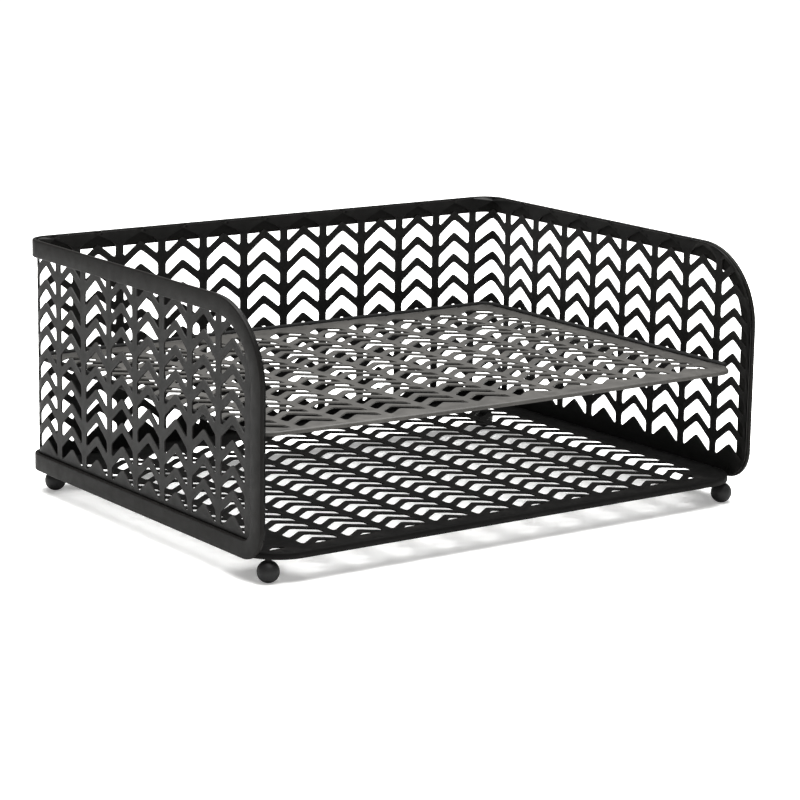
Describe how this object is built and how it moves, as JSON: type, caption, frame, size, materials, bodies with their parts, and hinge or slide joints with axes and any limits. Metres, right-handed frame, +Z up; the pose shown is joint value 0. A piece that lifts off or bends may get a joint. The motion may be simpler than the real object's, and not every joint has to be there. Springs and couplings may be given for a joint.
{
  "type": "letter tray",
  "caption": "Two-tier landscape letter tray in black perforated sheet steel, with an open front and top, a fixed shelf, flat edging bars and ball feet.",
  "frame": {"origin": "on the ground, under the middle of the tray's outline", "axes": "+X to the tray's right when seen from its open front, +Y from the open front to the back wall, +Z up"},
  "size_m": [0.34, 0.256, 0.15],
  "materials": {
    "wall_paint": "satin black powder coat on perforated sheet",
    "bar_paint": "satin black powder coat on flat bar",
    "floor_paint": "satin black powder coat on perforated sheet",
    "shelf_paint": "satin black powder coat on perforated sheet and rod",
    "foot_paint": "satin black powder coat on steel balls"
  },
  "bodies": {
    "root": {"wall_back": "wall_paint", "wall_left": "wall_paint", "wall_right": "wall_paint", "wall_left_corner": "wall_paint", "wall_right_corner": "wall_paint", "top_bar_back": "bar_paint", "top_bar_left": "bar_paint", "top_bar_right": "bar_paint", "top_bar_left_corner": "bar_paint", "top_bar_right_corner": "bar_paint", "bottom_bar_back": "bar_paint", "bottom_bar_left": "bar_paint", "bottom_bar_right": "bar_paint", "bottom_bar_left_corner": "bar_paint", "bottom_bar_right_corner": "bar_paint", "front_post_left": "bar_paint", "front_post_right": "bar_paint", "front_bend_upper_left": "bar_paint", "front_bend_upper_right": "bar_paint", "front_bend_lower_left": "bar_paint", "front_bend_lower_right": "bar_paint", "floor_sheet": "floor_paint", "shelf_sheet": "shelf_paint", "shelf_rod_back": "shelf_paint", "shelf_rod_left": "shelf_paint", "shelf_rod_right": "shelf_paint", "shelf_rod_left_corner": "shelf_paint", "shelf_rod_right_corner": "shelf_paint", "foot_front_left": "foot_paint", "foot_front_right": "foot_paint", "foot_back_left": "foot_paint", "foot_back_right": "foot_paint", "foot_stud_front_left": "foot_paint", "foot_stud_front_right": "foot_paint", "foot_stud_back_left": "foot_paint", "foot_stud_back_right": "foot_paint"}
  },
  "joints": []
}
